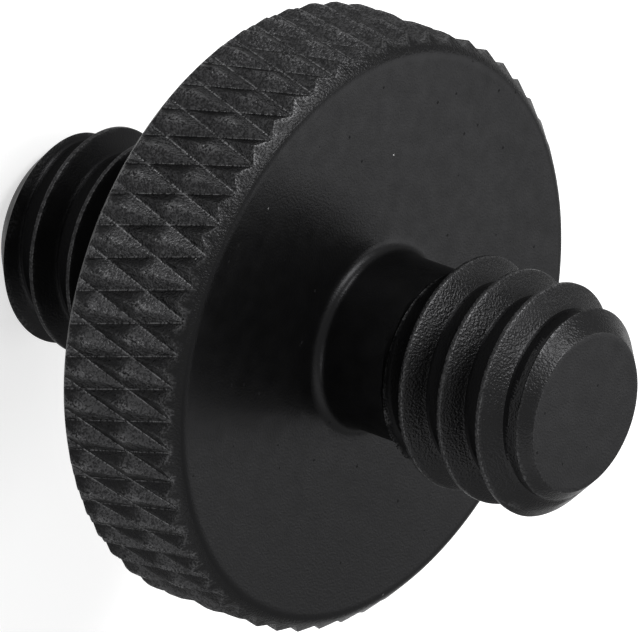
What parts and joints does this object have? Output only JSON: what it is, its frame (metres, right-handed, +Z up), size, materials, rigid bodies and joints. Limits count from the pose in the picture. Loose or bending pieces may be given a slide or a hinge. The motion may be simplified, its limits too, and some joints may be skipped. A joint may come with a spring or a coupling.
{
  "type": "tripod thread adapter",
  "caption": "Double-ended threaded stud with a flat knurled disc between its two ends, which joins two camera accessories with female threads.",
  "frame": {"origin": "centre of the lower stud's end face", "axes": "+Z up along the common axis of both studs and the disc; +X is where the upper thread's crest passes 3.26 mm above the disc"},
  "size_m": [0.0162, 0.0162, 0.018],
  "materials": {
    "body": "black anodised over a fine blasted surface"
  },
  "bodies": {
    "root": {"thread_adapter": "body"}
  },
  "joints": []
}
